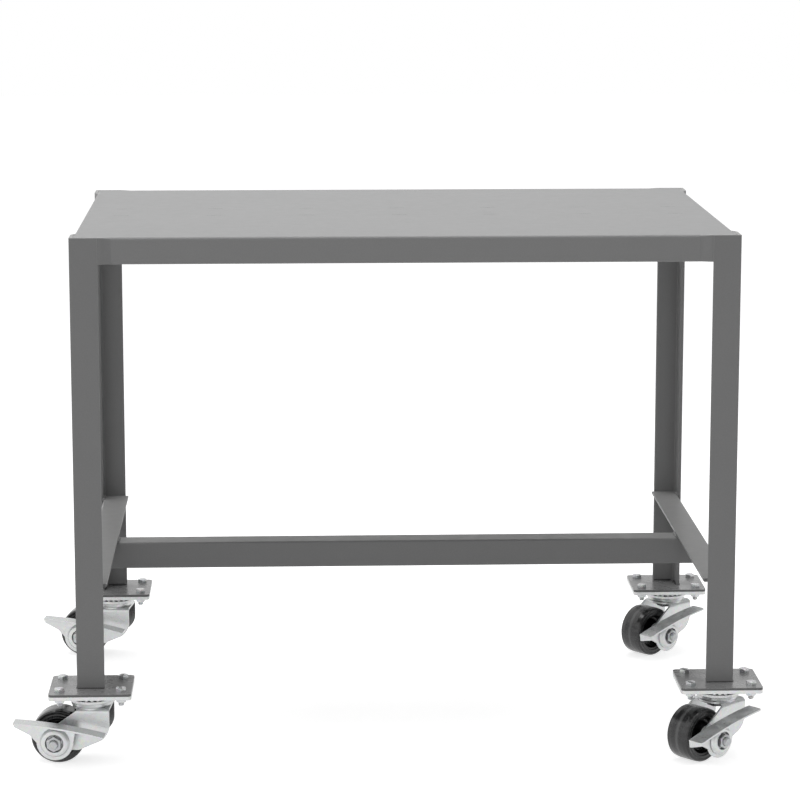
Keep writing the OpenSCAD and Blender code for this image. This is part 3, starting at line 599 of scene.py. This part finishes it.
def threaded(bm, place, radius, pitch, start, end, tip_high):
    """Threaded shank from start up to end, with a bevelled tip at one end or the other."""
    count = SHANK_STEPS
    depth = pitch * 0.42
    bevel = 0.0011
    steps = max(6, int((end - start) / pitch * RINGS_PER_TURN))
    rings = []
    for j in range(steps + 1):
        z = start + (end - start) * j / steps
        radii = []
        for i in range(count):
            part = (z / pitch - i / count) % 1
            ridge = 1 - abs(2 * part - 1)
            fall = (end - z) if tip_high else (z - start)
            taper = max(0, bevel - fall) * 0.9
            radii.append(min(radius - depth * (1 - ridge), radius - taper))
        rings.append(ring_at(bm, place, radii, [z] * count))
    for lower, upper in zip(rings, rings[1:]):
        strip(bm, lower, upper)
    bm.faces.new(rings[0])
    bm.faces.new(rings[-1])


def crease(bm, limit=0.5):
    """Keeps edges sharper than the limit, in radians, as hard edges."""
    bm.normal_update()
    for edge in bm.edges:
        if len(edge.link_faces) == 2 and edge.calc_face_angle(0) > limit:
            edge.smooth = False


def hardware(bm, name, node, body, material):
    """Piece with hard edges kept that stands in for a plain bolt or nut of the frame."""
    bmesh.ops.recalc_face_normals(bm, faces=bm.faces)
    crease(bm)
    made = piece(bm, name, material, body)
    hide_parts(node)


def bolt_places():
    """Places of the sixteen mount bolts on the floor, with Z up along each bolt."""
    for corner in CORNERS:
        x, y = swivel_axis(corner)
        for across in (-BOLT_X, BOLT_X):
            for along in (-BOLT_Y, BOLT_Y):
                yield Matrix.Translation((x + across, y + along, 0))


def mount_hardware():
    """Mount bolts and nuts of the four plates."""
    bm = bmesh.new()
    for place in bolt_places():
        hexagon(bm, place, BOLT_AF, FOOT_Z, BOLT_HEAD, 0, (False, True))
        threaded(bm, place, BOLT_R, BOLT_PITCH, FOOT_Z - BOLT_DEPTH, FOOT_Z + 0.0005, False)
    hardware(bm, "mount_bolt_set", "mount_bolts", "table", hardware_zinc)
    bm = bmesh.new()
    for place in bolt_places():
        hexagon(bm, place, BOLT_AF, FOOT_Z - NUT_DEPTH, NUT_H, BOLT_R + FIT)
    hardware(bm, "mount_nut_set", "mount_nuts", "table", hardware_zinc)


def axle_hardware(corner):
    """Axle bolt and nut of one caster."""
    axle = Matrix.Translation((TRAIL, 0, WHEEL_R)) @ Matrix.Rotation(-math.pi / 2, 4, "X")
    place = corner_place(corner) @ axle
    bm = bmesh.new()
    hexagon(bm, place, AXLE_AF, -CHEEK_OUT - AXLE_HEAD, AXLE_HEAD, 0, (True, False))
    thread_start = AXLE_NUT_Y - 0.004
    threaded(bm, place, AXLE_R, AXLE_PITCH, thread_start, AXLE_END, True)
    plain = [AXLE_R] * SHANK_STEPS
    rings = [ring_at(bm, place, plain, [z] * SHANK_STEPS) for z in (-CHEEK_OUT - 0.0005, thread_start)]
    strip(bm, *rings)
    for ring in rings:
        bm.faces.new(ring)
    body = "swivel_" + corner
    hardware(bm, "axle_bolt_detail_" + corner, "axle_bolt_" + corner, body, shaded_axle_zinc)
    bm = bmesh.new()
    hexagon(bm, place, AXLE_AF, AXLE_NUT_Y, AXLE_NUT_H, AXLE_R + FIT)
    hardware(bm, "axle_nut_detail_" + corner, "axle_nut_" + corner, body, shaded_axle_zinc)


mount_hardware()
for corner in CORNERS:
    axle_hardware(corner)


# Camera, light and floor

# Places in metres, angles in radians, lens and sensor in millimetres, walls from left to right
CAMERA_PLACE, CAMERA_DIP, CAMERA_TURN = (-0.16426, -4.30638, 1.22927), 0.1773, -0.0388
LENS, SENSOR = 133.71, 36
LIT_MIDDLE = (0, 0, 0.5)
WALLS_LIT, WALLS_MIRRORED, WALLS_SEEN = (0.62, 0.20), (1.5, 0.5), 1.0
FLOOR_WHITE, FLOOR_GLOW, FLOOR_HALF = 0.80, 0.73, 12

eye = bpy.data.objects.new("camera", bpy.data.cameras.new("camera"))
bpy.context.scene.collection.objects.link(eye)
eye.location = CAMERA_PLACE
eye.rotation_euler = (math.pi / 2 - CAMERA_DIP, 0, CAMERA_TURN)
eye.data.lens = LENS
eye.data.sensor_width = SENSOR
eye.data.clip_end = 50
bpy.context.scene.camera = eye


def softbox(name, place, width, height, watts):
    """Soft lamp that faces the middle of the table."""
    lamp = bpy.data.lights.new(name, "AREA")
    lamp.shape = "RECTANGLE"
    lamp.size = width
    lamp.size_y = height
    lamp.energy = watts
    box = bpy.data.objects.new(name, lamp)
    bpy.context.scene.collection.objects.link(box)
    box.location = place
    box.rotation_euler = (Vector(LIT_MIDDLE) - Vector(place)).to_track_quat("-Z", "Y").to_euler()


softbox("overhead", (0.0, 0.2, 3.0), 3.2, 2.4, 54)
softbox("front_fill", (-1.4, -3.2, 1.2), 1.6, 1.6, 3)


def studio_walls():
    """White walls, dimmer to the right, where the studio is open. The camera sees them evenly white."""
    world = bpy.data.worlds.new("studio")
    bpy.context.scene.world = world
    world.use_nodes = True
    sky = Nodes(world.node_tree)
    world.node_tree.nodes.clear()
    rays = sky.node("ShaderNodeLightPath")
    across = sky.part_of(sky.node("ShaderNodeTexCoord").outputs["Generated"], "X")

    def plain_white(strength):
        return sky.node("ShaderNodeBackground", Color=(1, 1, 1), Strength=strength).outputs["Background"]

    lit = plain_white(sky.spread(across, *WALLS_LIT, -1.0, 1.0))
    mirrored = plain_white(sky.spread(across, *WALLS_MIRRORED, -1.0, 1.0))
    direct = sky.maths("MAXIMUM", rays.outputs["Is Camera Ray"], rays.outputs["Is Transmission Ray"])
    indirect = sky.either(rays.outputs["Is Glossy Ray"], lit, mirrored)
    shown = sky.either(direct, indirect, plain_white(WALLS_SEEN))
    sky.node("ShaderNodeOutputWorld", Surface=shown)


def white_floor():
    """Matt floor that glows for the camera and in reflections, so that it meets the white walls."""
    ground = bmesh.new()
    bmesh.ops.create_grid(ground, x_segments=1, y_segments=1, size=FLOOR_HALF)
    mesh = bpy.data.meshes.new("floor")
    ground.to_mesh(mesh)
    ground.free()
    floor = bpy.data.objects.new("floor", mesh)
    bpy.context.scene.collection.objects.link(floor)
    white = bpy.data.materials.new("floor_white")
    white.use_nodes = True
    cover = Nodes(white.node_tree)
    white.node_tree.nodes.clear()
    rays = cover.node("ShaderNodeLightPath")
    seen = cover.maths("MAXIMUM", rays.outputs["Is Camera Ray"], rays.outputs["Is Glossy Ray"])
    matt = cover.node("ShaderNodeBsdfDiffuse", Color=(FLOOR_WHITE,) * 3).outputs["BSDF"]
    glow = cover.node("ShaderNodeEmission", Strength=FLOOR_GLOW).outputs["Emission"]
    both = cover.node("ShaderNodeAddShader")
    cover.feed(both.inputs[0], matt)
    cover.feed(both.inputs[1], glow)
    cover.node("ShaderNodeOutputMaterial", Surface=cover.either(seen, matt, both.outputs["Shader"]))
    mesh.materials.append(white)


studio_walls()
white_floor()

bpy.context.scene.view_settings.view_transform = "Standard"
